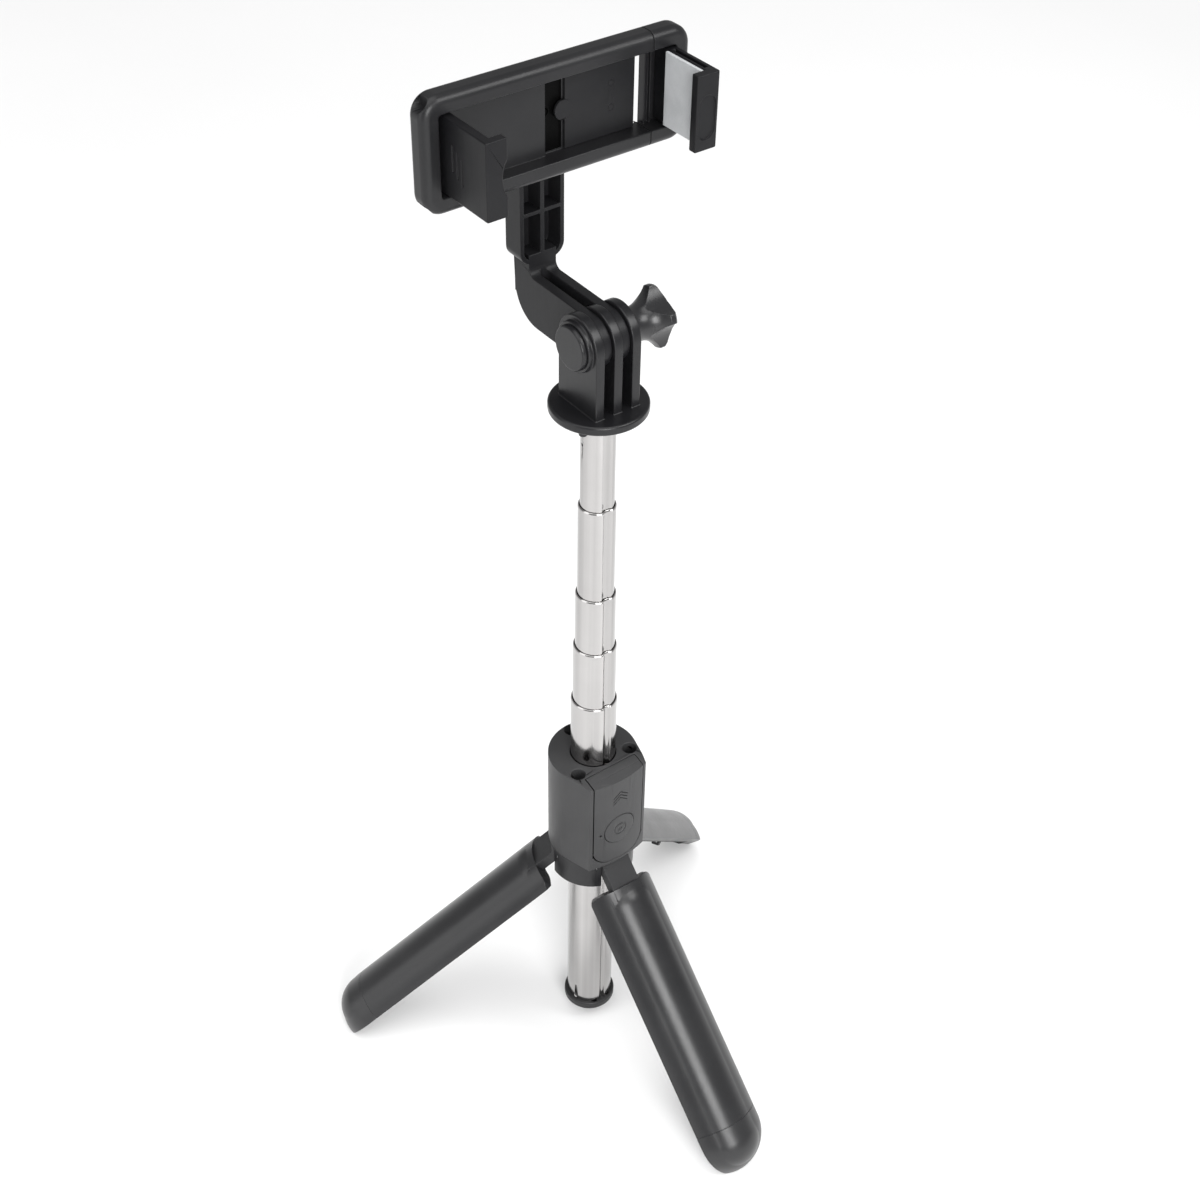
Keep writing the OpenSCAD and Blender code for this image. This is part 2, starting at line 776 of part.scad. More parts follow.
module holder_panel() {
  panel_gap = 0.1;
  color(black) difference() {
    union() {
      translate([panel_x, back_y - panel_t, holder_z - window_h + panel_gap])
        cube([panel_w, panel_t, 2 * (window_h - panel_gap)]);
      translate([panel_x - 0.5, back_y, holder_z]) rotate([90, 0, 0]) cylinder(r = 2.9, h = panel_t + 0.2);
    }
    for (z = [3.6, -3.6]) translate([21.5, back_y - panel_t + 0.15, holder_z + z]) rotate([90, 0, 0])
      difference() {
        cylinder(r = 1.1, h = 1);
        translate([0, 0, -1]) cylinder(r = 0.7, h = 3);
      }
  }
}

module left_jaw() {
  outer = -36;
  lip_w = 6.6;
  notch_r = 10.6;
  notch_in = 1.4;
  color(black) difference() {
    union() {
      translate([outer, jaw_y, holder_z - jaw_h / 2]) cube([jaw_t, pad_y - jaw_y, jaw_h]);
      translate([outer, jaw_y, holder_z - jaw_h / 2]) cube([lip_w, jaw_t, jaw_h]);
    }
    translate([outer + lip_w + notch_r - notch_in, jaw_y - 1, holder_z]) rotate([-90, 0, 0])
      cylinder(r = notch_r, h = 5);
    for (k = [0 : 2]) translate([outer - 0.6, 12.2 + 2.2 * k, holder_z - 5.5 + 1.2 * k])
      cube([1, 0.7, 7.5]);
  }
}

module clamp_spring(up) {
  coil_r = 1.15;
  wire_r = 0.36;
  pitch = 0.66;
  turns = 54;
  color(steel) translate([-35.2, rod_y, holder_z + up * rod_z]) rotate([0, 90, 0]) rotate_extrude($fn = 32)
    for (k = [0 : turns]) translate([coil_r, k * pitch + wire_r]) circle(r = wire_r, $fn = 16);
}

module slider() {
  seam_gap = 0.25;
  wall_from = seam_x + 1;
  color(black) union() {
    rim_half(holder_right, seam_x + seam_gap);
    translate([wall_from, back_y, holder_z - window_h - 1])
      cube([holder_right - rim_w + 1 - wall_from, 1.5, 2 * window_h + 2]);
    for (up = [-1, 1]) translate([2, rod_y, holder_z + up * rod_z]) rotate([0, 90, 0])
      cylinder(r = rod_r, h = seam_x + 4 - 2);
    for (rib = [[wall_from, 0.8], [wall_from + 2, 0.5]])
      translate([rib[0], back_y - 1, holder_z - window_h - 0.2]) cube([rib[1], 1.5, 2 * window_h + 0.4]);
  }
}

module right_jaw() {
  inner = 37;
  outer = 40.1;
  lip_x = 32.6;
  grip_r = 2.9;
  grip_reach = 3.6;
  color(black) difference() {
    union() {
      translate([inner, jaw_y, holder_z - jaw_h / 2]) cube([outer - inner, back_y - jaw_y, jaw_h]);
      translate([lip_x, jaw_y, holder_z - jaw_h / 2]) cube([outer - lip_x, jaw_t, jaw_h]);
    }
    translate([inner + 0.9, jaw_y + 4, holder_z + jaw_h / 2 - 2.4]) cube([1.1, 14, 3]);
    translate([(lip_x + outer) / 2, jaw_y + 0.5, holder_z - 1.5]) rotate([90, 0, 0]) linear_extrude(2) {
      for (up = [-1, 1]) translate([0, up * grip_reach]) circle(r = grip_r);
      translate([-grip_r, -grip_reach]) square([2 * grip_r, 2 * grip_reach]);
    }
  }
}

module jaw_pad() {
  color(pad_grey) translate([36, jaw_y + 2.9, holder_z - jaw_h / 2 + 0.3]) cube([1, 15.8, jaw_h - 0.6]);
}

module swivel_screw() {
  shank_len = 9;
  color(steel) translate([0, swivel_end + washer_t, holder_z]) rotate([-90, 0, 0]) difference() {
    union() {
      translate([0, 0, -shank_len]) cylinder(r = screw_r, h = shank_len + eps);
      cylinder(r = 3.4, h = 1.6);
    }
    for (turn = [0, 90]) rotate(turn) translate([0, 0, 1.3]) cube([3.6, 0.8, 1.6], center = true);
  }
}

module swivel_washer() {
  color(steel) translate([0, swivel_end, holder_z]) rotate([-90, 0, 0]) difference() {
    cylinder(r = 5, h = washer_t);
    translate([0, 0, -1]) cylinder(r = screw_r, h = 3);
  }
}

outer_tube();
sliding_tube(5);  // tube_5
sliding_tube(4);  // tube_4
sliding_tube(3);  // tube_3
sliding_tube(2);  // tube_2
sliding_tube(1);  // tube_1
bush(5);  // bush_5
bush(4);  // bush_4
bush(3);  // bush_3
bush(2);  // bush_2
bush(1);  // bush_1
end_cap();
housing();
hub();
housing_screws();
remote_front();
remote_back();
remote_button();
remote_board();
remote_cell();
remote_switch();
leg_shell(0);  // leg_1_shell
leg_liner(0);  // leg_1_liner
leg_foot(0);  // leg_1_foot
leg_pin(0);  // leg_1_pin
leg_shell(1);  // leg_2_shell
leg_liner(1);  // leg_2_liner
leg_foot(1);  // leg_2_foot
leg_pin(1);  // leg_2_pin
leg_shell(2);  // leg_3_shell
leg_liner(2);  // leg_3_liner
leg_foot(2);  // leg_3_foot
leg_pin(2);  // leg_3_pin
head_base();
base_stud();
hinge_nut();
nut_cover();
hinge_bolt();
knob();
knob_insert();
arm();
holder_frame();
holder_panel();
left_jaw();
clamp_spring(1);  // clamp_spring_1
clamp_spring(-1);  // clamp_spring_2
swivel_screw();
swivel_washer();
slider();
right_jaw();
jaw_pad();
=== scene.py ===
import json
import math

import bmesh
import bpy
from mathutils import Matrix, Vector


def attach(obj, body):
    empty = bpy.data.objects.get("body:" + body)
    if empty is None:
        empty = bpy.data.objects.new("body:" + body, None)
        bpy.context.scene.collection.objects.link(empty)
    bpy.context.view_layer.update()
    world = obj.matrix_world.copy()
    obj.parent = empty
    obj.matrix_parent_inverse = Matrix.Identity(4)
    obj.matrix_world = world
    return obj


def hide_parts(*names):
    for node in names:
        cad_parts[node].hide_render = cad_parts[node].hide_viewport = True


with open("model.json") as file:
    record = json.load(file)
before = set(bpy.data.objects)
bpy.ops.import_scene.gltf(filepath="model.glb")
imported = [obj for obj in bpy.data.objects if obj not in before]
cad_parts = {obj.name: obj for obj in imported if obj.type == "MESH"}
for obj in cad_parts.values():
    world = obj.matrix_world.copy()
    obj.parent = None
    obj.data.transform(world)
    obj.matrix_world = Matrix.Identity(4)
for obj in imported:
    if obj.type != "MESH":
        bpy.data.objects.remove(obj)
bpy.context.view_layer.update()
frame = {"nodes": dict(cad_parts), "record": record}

NODES = frame["nodes"]
MM = 0.001
scene = bpy.context.scene
scene.view_settings.view_transform = "Standard"
scene.view_settings.look = "None"


# ---- camera: place in metres, heading from +Y, pitch down, roll, and a lens in millimetres ----
CAMERA_PLACE = (-0.2712, -0.3577, 0.5786)
HEADING, PITCH, ROLL = math.radians(-37.35), math.radians(40.08), math.radians(1.07)
LENS, SENSOR = 55.64, 36


def make_camera():
    level = Vector((math.cos(HEADING), math.sin(HEADING), 0))
    ahead = Vector((-math.sin(HEADING), math.cos(HEADING), 0))
    forward = ahead * math.cos(PITCH) - Vector((0, 0, math.sin(PITCH)))
    upward = level.cross(forward)
    right = level * math.cos(ROLL) + upward * math.sin(ROLL)
    up = upward * math.cos(ROLL) - level * math.sin(ROLL)
    data = bpy.data.cameras.new("Camera")
    data.sensor_width = SENSOR
    data.lens = LENS
    data.clip_start, data.clip_end = 0.01, 50
    cam = bpy.data.objects.new("Camera", data)
    scene.collection.objects.link(cam)
    turned = Matrix((right, up, -forward)).transposed().to_4x4()
    cam.matrix_world = Matrix.Translation(CAMERA_PLACE) @ turned
    scene.camera = cam


make_camera()


# ---- materials: noise scales are per metre, bump distances in metres ----
NOISE_LOW, NOISE_HIGH = 0.35, 0.65
# Painted shade: the near black tints and the low specular level put inside the shade boxes below
SHADE_PAINT_PLASTIC, SHADE_PAINT_METAL, SHADE_PAINT_SHINE = (0.002, 0.002, 0.002), (0.004, 0.004, 0.004), 0.04


class Mat:
    """A small wrapper that adds nodes to one Principled material."""

    def __init__(self, name, **sockets):
        self.material = bpy.data.materials.new(name)
        self.material.use_nodes = True
        self.tree = self.material.node_tree
        self.tree.nodes.clear()
        out = self.tree.nodes.new("ShaderNodeOutputMaterial")
        self.shader = self.tree.nodes.new("ShaderNodeBsdfPrincipled")
        self.tree.links.new(self.shader.outputs["BSDF"], out.inputs["Surface"])
        self.place = self.tree.nodes.new("ShaderNodeTexCoord").outputs["Object"]
        for key, value in sockets.items():
            self.shader.inputs[key.replace("_", " ")].default_value = value

    def feed(self, socket, value):
        """Links the socket to another one, or gives it a plain value."""
        if isinstance(value, bpy.types.NodeSocket):
            self.tree.links.new(value, socket)
        else:
            socket.default_value = value

    def node(self, kind, **inputs):
        n = self.tree.nodes.new(kind)
        for key, value in inputs.items():
            self.feed(n.inputs[key], value)
        return n

    def scaled(self, x, y, z):
        return self.node("ShaderNodeMapping", Vector=self.place, Scale=(x, y, z)).outputs["Vector"]

    def noise(self, scale, detail, rough=0.55, vector=None):
        n = self.node("ShaderNodeTexNoise", Vector=vector or self.place,
                      Scale=scale, Detail=detail, Roughness=rough)
        return n.outputs["Fac"]

    def voronoi(self, scale):
        return self.node("ShaderNodeTexVoronoi", Vector=self.place, Scale=scale).outputs["Distance"]

    def range(self, value, low, high, to_low, to_high):
        n = self.node("ShaderNodeMapRange", Value=value)
        for key, v in (("From Min", low), ("From Max", high), ("To Min", to_low), ("To Max", to_high)):
            n.inputs[key].default_value = v
        return n.outputs["Result"]

    def blend(self, value, to_low, to_high):
        """Spreads the middle of a noise over the given range."""
        return self.range(value, NOISE_LOW, NOISE_HIGH, to_low, to_high)

    def math(self, op, a, b):
        n = self.tree.nodes.new("ShaderNodeMath")
        n.operation = op
        for i, v in enumerate((a, b)):
            self.feed(n.inputs[i], v)
        return n.outputs["Value"]

    def weighed(self, a, part_a, b, part_b):
        """The sum of two values, each times its own part."""
        return self.math("ADD", self.math("MULTIPLY", a, part_a), self.math("MULTIPLY", b, part_b))

    def mix(self, fac, a, b):
        n = self.tree.nodes.new("ShaderNodeMix")
        n.data_type = "RGBA"
        self.tree.links.new(fac, n.inputs["Factor"])
        for key, v in (("A", a), ("B", b)):
            socket = [s for s in n.inputs if s.name == key and s.type == "RGBA"][0]
            self.feed(socket, v if isinstance(v, bpy.types.NodeSocket) else (*v, 1))
        return [s for s in n.outputs if s.type == "RGBA"][0]

    def bump(self, height, strength, distance):
        n = self.node("ShaderNodeBump", Height=height, Strength=strength, Distance=distance)
        return n.outputs["Normal"]

    def set(self, key, value):
        self.tree.links.new(value, self.shader.inputs[key])


# Painted shade, as boxes in metres: near black tint and low shine on the floor of the holder's slot, the
# gap beside the remote and the front end of the swivel pin
HOLDER_SLOT_SHADE = ((-0.0012, 0.0056), (0.0262, 0.0272), (0.3416, 0.3694))
REMOTE_GAP_SHADE = ((-0.01052, -0.01014), (-0.0160, -0.0095), (0.0995, 0.1375))
PIN_FRONT_SHADE = ((-0.0100, 0.0100), (0.0200, 0.0285), (0.3400, 0.3710))


def in_box(m, box):
    """1 inside the box, 0 outside."""
    place = m.node("ShaderNodeSeparateXYZ", Vector=m.place).outputs
    inside = 1.0
    for axis, (low, high) in zip("XYZ", box):
        above = m.math("GREATER_THAN", place[axis], low)
        below = m.math("LESS_THAN", place[axis], high)
        inside = m.math("MULTIPLY", inside, m.math("MULTIPLY", above, below))
    return inside


def grey(level):
    """A near neutral tint, a touch bluer than grey."""
    return level, level, level + 0.001


def plastic(name, dark, light, rough, grain=0.06, grain_scale=5200, painted_shade_box=None, shine=0.5):
    """Moulded plastic: a slow cloud in the tint, faint streaks in the gloss, a fine grain in the relief,
    and painted shade inside a box where one is given.
    """
    m = Mat(name, Metallic=0.0, IOR=1.46, Specular_IOR_Level=shine)
    cloud = m.noise(scale=38, detail=4)
    tint = m.mix(m.blend(cloud, 0, 1), dark, light)
    # Painted shade: inside the box the tint turns near black and the specular level drops
    if painted_shade_box:
        shade = in_box(m, painted_shade_box)
        tint = m.mix(shade, tint, SHADE_PAINT_PLASTIC)
        m.set("Specular IOR Level", m.range(shade, 0, 1, shine, SHADE_PAINT_SHINE))
    m.set("Base Color", tint)
    streak = m.noise(scale=900, detail=2, vector=m.scaled(1, 1, 0.12))
    m.set("Roughness", m.blend(m.weighed(cloud, 0.6, streak, 0.4), *rough))
    pits = m.math("MULTIPLY", m.voronoi(grain_scale * 0.7), 0.5)
    relief = m.math("ADD", m.noise(grain_scale, detail=2, rough=0.6), pits)
    m.set("Normal", m.bump(relief, strength=grain, distance=0.00004))
    return m.material


def steel(name, color, rough, brush=(1, 1, 1), brush_scale=2600, painted_reflection=0.0, painted_shade_box=None):
    """Metal with a fine grain, drawn out into lines by an uneven brush, broad dark streaks of painted
    reflection where asked, and painted shade inside a box where one is given.
    """
    m = Mat(name, Metallic=1.0)
    cloud = m.noise(scale=45, detail=3)
    tint = m.mix(m.blend(cloud, 0, 1), tuple(c * 0.94 for c in color), color)
    # Painted reflection: broad dark streaks along the length darken the tint, standing in for dark
    # surroundings seen in the metal
    if painted_reflection:
        broad = m.noise(scale=210, detail=3, rough=0.5, vector=m.scaled(1, 1, 0.004))
        tint = m.mix(m.range(broad, 0.36, 0.64, 0, painted_reflection), tint, tuple(c * 0.55 for c in color))
    # Painted shade: inside the box the tint turns near black
    if painted_shade_box:
        tint = m.mix(in_box(m, painted_shade_box), tint, SHADE_PAINT_METAL)
    m.set("Base Color", tint)
    lines = m.noise(brush_scale, detail=4, rough=0.65, vector=m.scaled(*brush))
    m.set("Roughness", m.blend(m.weighed(lines, 0.7, cloud, 0.3), *rough))
    m.set("Normal", m.bump(lines, strength=0.1, distance=0.00002))
    return m.material


def rubber(name, dark, light):
    """Foam rubber: open cells that are smoother at their rims."""
    m = Mat(name, Metallic=0.0, IOR=1.45)
    cells = m.voronoi(scale=1900)
    cloud = m.noise(scale=120, detail=4)
    m.set("Base Color", m.mix(m.blend(cloud, 0, 1), dark, light))
    m.set("Roughness", m.range(cells, 0.0, 0.6, 0.85, 0.62))
    relief = m.math("ADD", cells, m.math("MULTIPLY", m.noise(scale=6000, detail=2), 0.6))
    m.set("Normal", m.bump(relief, strength=0.35, distance=0.00012))
    return m.material


def board_green(name):
    """Circuit board: lighter tracks that stand up a little."""
    m = Mat(name, Metallic=0.0, IOR=1.5)
    lines = m.range(m.noise(scale=700, detail=1, vector=m.scaled(1, 1, 0.25)), 0.48, 0.52, 0, 1)
    m.set("Base Color", m.mix(lines, (0.02, 0.11, 0.05), (0.05, 0.2, 0.09)))
    m.set("Roughness", m.blend(m.noise(scale=500, detail=3), 0.25, 0.4))
    m.set("Normal", m.bump(lines, strength=0.3, distance=0.00003))
    return m.material


# Painted shade: the black plastic is near black in the gap beside the remote
black = plastic("black_satin", grey(0.034), grey(0.043), (0.34, 0.44), painted_shade_box=REMOTE_GAP_SHADE, shine=0.22)
# Painted shade: a darker copy of the black plastic for the hub, which sits in the shadow under the housing
hub_shaded_black = plastic("hub_shaded_satin", grey(0.008), grey(0.012), (0.36, 0.46), shine=0.35)
leg_black = plastic("leg_satin", grey(0.012), grey(0.016), (0.30, 0.36), grain=0.03)
foot_black = plastic("foot_satin", grey(0.013), grey(0.018), (0.30, 0.36), grain=0.03)
liner_black = plastic("liner_matte", grey(0.010), grey(0.014), (0.5, 0.62), grain=0.2)
soft_black = plastic("cap_soft", grey(0.010), (0.015, 0.015, 0.015), (0.42, 0.55), grain=0.1)
head_black = plastic("head_glass_filled", grey(0.007), grey(0.011), (0.27, 0.36),
                     grain_scale=3800, shine=0.35)
arm_black = plastic("arm_glass_filled", grey(0.009), grey(0.013), (0.32, 0.42),
                    grain_scale=3800, shine=0.17)
knob_black = plastic("knob_satin", grey(0.012), grey(0.018), (0.26, 0.34))
# Painted shade: the holder plastic is near black on the floor of its slot
holder_black = plastic("holder_satin", grey(0.010), grey(0.014), (0.30, 0.40), painted_shade_box=HOLDER_SLOT_SHADE, shine=0.3)
panel_black = plastic("panel_matte", grey(0.010), grey(0.014), (0.38, 0.48), grain=0.08, shine=0.15)
jaw_black = plastic("jaw_satin", grey(0.006), grey(0.010), (0.36, 0.46), shine=0.2)
button_black = plastic("button_satin", grey(0.034), grey(0.042), (0.34, 0.44), shine=0.25)
bush_black = plastic("bush_plain", grey(0.015), grey(0.020), (0.45, 0.55), grain=0.12)
# Painted reflection: dark streaks along the tubes
tube_steel = steel("tube_bright_steel", (0.49, 0.48, 0.475), (0.10, 0.20), brush=(1, 1, 0.02), painted_reflection=0.65)
# Painted shade: the screw metal is near black at the front end of the swivel pin
screw_steel = steel("screw_zinc", (0.62, 0.62, 0.63), (0.25, 0.4), brush_scale=1800, painted_shade_box=PIN_FRONT_SHADE)
cell_steel = steel("cell_nickel", (0.72, 0.71, 0.68), (0.15, 0.25))
spring_steel = steel("spring_wire", (0.6, 0.6, 0.6), (0.2, 0.35), brush=(0.1, 1, 1))
brass = steel("insert_brass", (0.78, 0.58, 0.27), (0.25, 0.38))
pad_rubber = rubber("pad_foam_grey", (0.40, 0.41, 0.42), (0.47, 0.48, 0.49))
board = board_green("board_green")

SLOT_MATERIAL = {
    "tube_steel": tube_steel, "bush_plastic": bush_black, "soft_black_plastic": soft_black,
    "black_plastic": black, "fastener_steel": screw_steel, "button_plastic": button_black,
    "circuit_board": board, "cell_steel": cell_steel, "switch_metal": cell_steel,
    "leg_plastic": leg_black, "liner_plastic": liner_black, "foot_plastic": foot_black,
    "head_plastic": head_black, "knob_plastic": knob_black, "insert_brass": brass,
    "holder_plastic": holder_black, "panel_plastic": panel_black, "jaw_plastic": jaw_black,
    "spring_steel": spring_steel, "pad_rubber": pad_rubber,
}
SLOT_OF = {s["node"]: s["material_slot"] for s in frame["record"]["subparts"]}
MATERIAL_OF = {node: SLOT_MATERIAL[slot] for node, slot in SLOT_OF.items()}
# Painted shade: the hub gets the darker copy of the black plastic
MATERIAL_OF["hub"] = hub_shaded_black
MATERIAL_OF["arm"] = arm_black
BODY_OF = {n: body for body, names in frame["record"]["behaviour"]["bodies"].items() for n in names}

for name, ob in NODES.items():
    ob.data.materials.clear()
    ob.data.materials.append(MATERIAL_OF[name])


# ---- tubes: drawn steel with a soft groove and a rolled rim, sizes in millimetres ----
TUBES = 6
OUTER_R, OUTER_GROOVE, TUBE_STEP = 8.25, 1.0, 0.58
GROOVE_AXIS, FILLET, TUBE_WALL = 8.35, 0.62, 0.3
GROOVE_STEPS, FILLET_STEPS, ROUND_STEPS, LENGTH_STEPS = 12, 8, 66, 12
EASE_ACROSS, EASE_ALONG = 0.05, 0.15
RIM_LENGTH = 2

# Each rim is a list of steps: distance below the top, depth under the outer face
ROLLED = ((1.6, 0.0), (1.15, -0.03), (0.85, -0.05), (0.6, -0.03), (0.4, 0.03), (0.25, 0.1), (0.12, 0.19),
          (0.03, 0.27), (0.0, 0.36), (0.05, 0.45), (0.25, 0.47), (0.7, 0.42), (1.4, TUBE_WALL))
PLAIN = ((0.15, 0.0), (0.04, 0.04), (0.0, 0.15), (0.04, 0.26), (0.15, TUBE_WALL))

# Holes punched through one side of a wall: turn from the front in degrees, height, radius
PUNCHED = {1: (-98, 262.6, 0.5), 6: (-74, 10.6, 0.7)}
PUNCH_IN, PUNCH_OUT, PUNCH_SIDES = 1.2, 1, 40


def spread(start, end, count):
    """Evenly spaced values from start to end, one more than the count of steps."""
    return [start + (end - start) * i / count for i in range(count + 1)]


def grooved_outline(radius, groove, inset):
    """Outline of a tube wall at one depth under its outer face, from the bottom of the groove round."""
    r, g, f = radius - inset, groove + inset, FILLET - inset
    reach = r - f
    turn = math.acos((reach ** 2 + GROOVE_AXIS ** 2 - (g + f) ** 2) / (2 * reach * GROOVE_AXIS))
    px, py = reach * math.sin(turn), -reach * math.cos(turn)
    lean = math.atan2(px, py + GROOVE_AXIS)
    half = [(g * math.sin(t), -GROOVE_AXIS + g * math.cos(t)) for t in spread(0, lean, GROOVE_STEPS)]
    half += [(px + f * math.sin(t), py - f * math.cos(t)) for t in spread(-lean, turn, FILLET_STEPS)[1:]]
    half += [(r * math.sin(t), -r * math.cos(t)) for t in spread(turn, math.pi, ROUND_STEPS)[1:]]
    return half + [(-x, y) for x, y in half[-2:0:-1]]


def cylinder_cutter(radius, start, end):
    """Round cutter between two points, in millimetres."""
    axis = Vector(end) - Vector(start)
    bm = bmesh.new()
    bmesh.ops.create_cone(bm, cap_ends=True, segments=PUNCH_SIDES,
                          radius1=radius * MM, radius2=radius * MM, depth=axis.length * MM)
    turn = axis.to_track_quat("Z", "Y").to_matrix().to_4x4()
    bm.transform(Matrix.Translation((Vector(start) + axis / 2) * MM) @ turn)
    me = bpy.data.meshes.new("cutter")
    bm.to_mesh(me)
    bm.free()
    ob = bpy.data.objects.new("cutter", me)
    scene.collection.objects.link(ob)
    return ob


def cut(ob, cutter):
    """Cuts the cutter out of the piece for good and removes it."""
    mod = ob.modifiers.new("cut", "BOOLEAN")
    mod.object = cutter
    mod.solver = "EXACT"
    bpy.context.view_layer.update()
    me = bpy.data.meshes.new_from_object(ob.evaluated_get(bpy.context.evaluated_depsgraph_get()))
    ob.modifiers.clear()
    ob.data = me
    bpy.data.objects.remove(cutter)


def steel_tube(k, rim):
    """Tube number k, 1 the innermost, standing for its CAD node."""
    node = "outer_tube" if k == TUBES else "tube_%d" % k
    heights = [v.co.z / MM for v in NODES[node].data.vertices]
    low, high = min(heights), max(heights)
    radius = OUTER_R - TUBE_STEP * (TUBES - k)
    groove = OUTER_GROOVE + TUBE_STEP * (TUBES - k)
    rings = [(low + EASE_ALONG, TUBE_WALL), (low, TUBE_WALL - EASE_ACROSS)]
    rings += [(low, EASE_ACROSS), (low + EASE_ALONG, 0.0)]
    rings += [(z, 0.0) for z in spread(low, high - RIM_LENGTH, LENGTH_STEPS)[1:]]
    rings += [(high - h, inset) for h, inset in rim]
    bm = bmesh.new()
    loops = []
    for z, inset in rings:
        outline = grooved_outline(radius, groove, inset)
        loops.append([bm.verts.new((x * MM, y * MM, z * MM)) for x, y in outline])
    for one, two in zip(loops, loops[1:] + loops[:1]):
        for i in range(len(one)):
            j = (i + 1) % len(one)
            bm.faces.new((one[i], one[j], two[j], two[i])).smooth = True
    bmesh.ops.recalc_face_normals(bm, faces=bm.faces)
    me = bpy.data.meshes.new(node + "_drawn")
    bm.to_mesh(me)
    bm.free()
    ob = bpy.data.objects.new(node + "_drawn", me)
    scene.collection.objects.link(ob)
    me.materials.append(tube_steel)
    if k in PUNCHED:
        turn, height, hole = PUNCHED[k]
        way = Vector((math.sin(math.radians(turn)), -math.cos(math.radians(turn)), 0))
        at = Vector((0, 0, height))
        cut(ob, cylinder_cutter(hole, at + way * (radius - PUNCH_IN), at + way * (radius + PUNCH_OUT)))
    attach(ob, BODY_OF[node])
    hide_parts(node)


for k in range(1, TUBES + 1):
    steel_tube(k, PLAIN if k in (1, TUBES) else ROLLED)


# ---- refined copies: welded, flat faces joined, moulded edges rounded, sizes in millimetres ----
# Places with little room for rounding: seam and ears of the leg shells, head spigot and cap plug,
# bore and screw seats of the housing, hollow of the arm, chevrons and lamp hole of the remote, and
# end holes of the holder
LEG_TURN = {"leg_1": 150, "leg_2": -90, "leg_3": 30}
LEG_SPREAD, HINGE_R, HINGE_Z = 44.85, 12.0, 90.5
FOOT_SEAM, SEAM_REACH, EAR_END = 102.1, 0.2, 15
SPIGOT_TOP, CAP_PLUG, BORE_REACH = 273.9, 8.65, 8.6
SCREW_PITCH_R, SCREW_REACH = 12.4, 2.4
SCREW_TURNS = [math.radians(a) for a in (90, -30, 210)]
SCREWS = [(SCREW_PITCH_R * math.cos(a), SCREW_PITCH_R * math.sin(a)) for a in SCREW_TURNS]
SLAB_HOLLOW, SLAB_FOOT = 28.3, 310
CHEVRONS_FROM, CHEVRON_HALF = 123, 5
LED_X, LED_Z, LED_REACH = -7.6, 109.6, 1
HOLDER_END, HOLDER_Z, END_HOLE_UP, END_HOLE_Y, END_HOLE_REACH = -37.9, 355.5, 14.65, 23.75, 3
NO_LIMIT = 9.0

# Edges sharper than SHARP are rounded, as far as the faces beside them have room. Where sharp edges
# meet in a narrow corner the rounding is small, and one under CREASE is left as a plain crease.
# NEARLY_STRAIGHT and NARROW are cosines between two edges that meet.
SHARP, NEARLY_STRAIGHT, NARROW = math.radians(28), -0.75, 0.25
ROOM_SHARE, NARROW_ROUNDING, CREASE = 0.42, 0.1, 0.045

# Welding and joining: two distances in metres, and the angle under which facets count as flat.
# The arm's facets stay apart where the room is under JOIN_ROOM millimetres.
WELD, TINY, FLAT = 2e-6, 1e-6, math.radians(0.5)
JOIN_ROOM, LEVEL = 0.1, 0.9

# Pieces whose flat faces wrap round holes or notches: joining their facets would close those over.
# The second group has such holes only in faces that lie level, by the square of their normal's z.
LEGS = ("leg_1", "leg_2", "leg_3")
KEEP_FACETS = ["end_cap", "holder_panel", "holder_frame", "slider", "remote_front", "remote_button"]
KEEP_FACETS += [leg + part for leg in LEGS for part in ("_shell", "_foot")]
LEVEL_HOLES = ("housing", "hub", "head_base")


def along_leg(node, co):
    """Distance from the hinge, measured along the leg, in millimetres."""
    turn = math.radians(-LEG_TURN[node[:5]])
    out = (co.x * math.cos(turn) - co.y * math.sin(turn)) / MM - HINGE_R
    tilt = math.radians(LEG_SPREAD)
    return out * math.sin(tilt) - (co.z / MM - HINGE_Z) * math.cos(tilt)


def limit(node, co):
    """Largest rounding, in millimetres, that one place of a piece has room for."""
    x, y, z = (c / MM for c in co)
    if node == "head_base" and z < SPIGOT_TOP:
        return 0.0
    if node == "end_cap" and z > CAP_PLUG:
        return 0.0
    if node == "housing" and math.hypot(x, y) < BORE_REACH:
        return 0.05
    if node == "housing" and any(math.hypot(x - sx, y - sy) < SCREW_REACH for sx, sy in SCREWS):
        return 0.12
    if node == "arm" and y > SLAB_HOLLOW and z > SLAB_FOOT:
        return 0.08
    if node == "remote_front" and z > CHEVRONS_FROM and abs(x) < CHEVRON_HALF:
        return 0.03
    if node == "remote_front" and math.hypot(x - LED_X, z - LED_Z) < LED_REACH:
        return 0.03
    if node == "holder_frame" and x < HOLDER_END:
        if math.hypot(abs(z - HOLDER_Z) - END_HOLE_UP, y - END_HOLE_Y) < END_HOLE_REACH:
            return 0.05
    if node.endswith(("shell", "foot")) and abs(along_leg(node, co) - FOOT_SEAM) < SEAM_REACH:
        return 0.12
    if node.endswith("shell") and along_leg(node, co) < EAR_END:
        return 0.12
    return NO_LIMIT


def reach_from(e, f):
    """How far a face reaches from one of its edges, in metres."""
    start = e.verts[0].co
    along = (e.verts[1].co - start).normalized()
    ways = [v.co - start for v in f.verts]
    return max((d - along * d.dot(along)).length for d in ways)


def directions(v, edges):
    """Unit vectors from a corner along each of its edges."""
    return [(e.other_vert(v).co - v.co).normalized() for e in edges]


